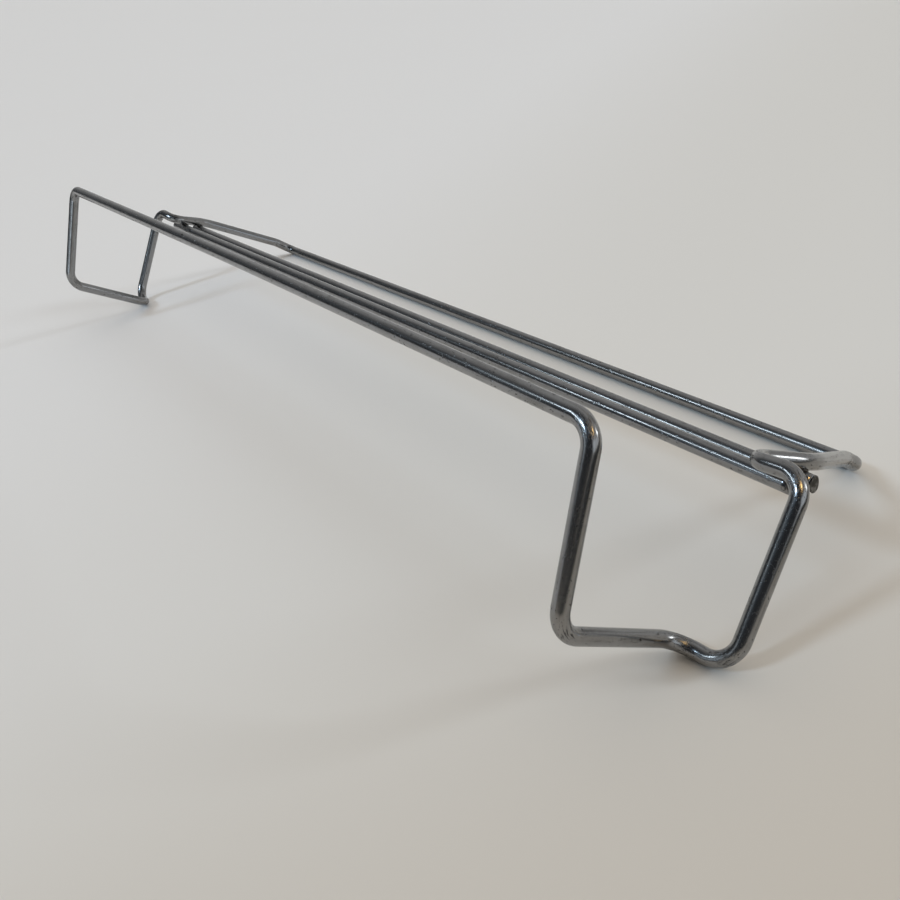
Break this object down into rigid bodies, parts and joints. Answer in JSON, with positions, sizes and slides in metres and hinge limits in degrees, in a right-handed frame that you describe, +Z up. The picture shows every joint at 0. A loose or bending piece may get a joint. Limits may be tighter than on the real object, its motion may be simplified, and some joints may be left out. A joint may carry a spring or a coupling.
{
  "type": "wire drying rack",
  "caption": "Rigid drying rack bent from round steel wire: a flat top of long parallel rails with a bent wire leg frame at each end, resting on its foot bends and rear rail.",
  "frame": {"origin": "centre of the rack's footprint, on the surface that it stands on", "axes": "+X along the rails towards the right-hand leg frame, +Y from the front rail towards the rear rail, +Z up off the surface"},
  "size_m": [0.4616, 0.1392, 0.0822],
  "materials": {
    "bright_wire": "drawn wire with a dull bright plating, scuffed at the bends",
    "weld_metal": "dull grey spot weld"
  },
  "bodies": {
    "root": {"front_rail": "bright_wire", "rear_rail": "bright_wire", "right_leg_frame": "bright_wire", "left_leg_frame": "bright_wire", "right_cross_arm": "bright_wire", "left_cross_arm": "bright_wire", "inner_middle_rail": "bright_wire", "outer_middle_rail": "bright_wire", "cross_welds": "weld_metal"}
  },
  "joints": []
}
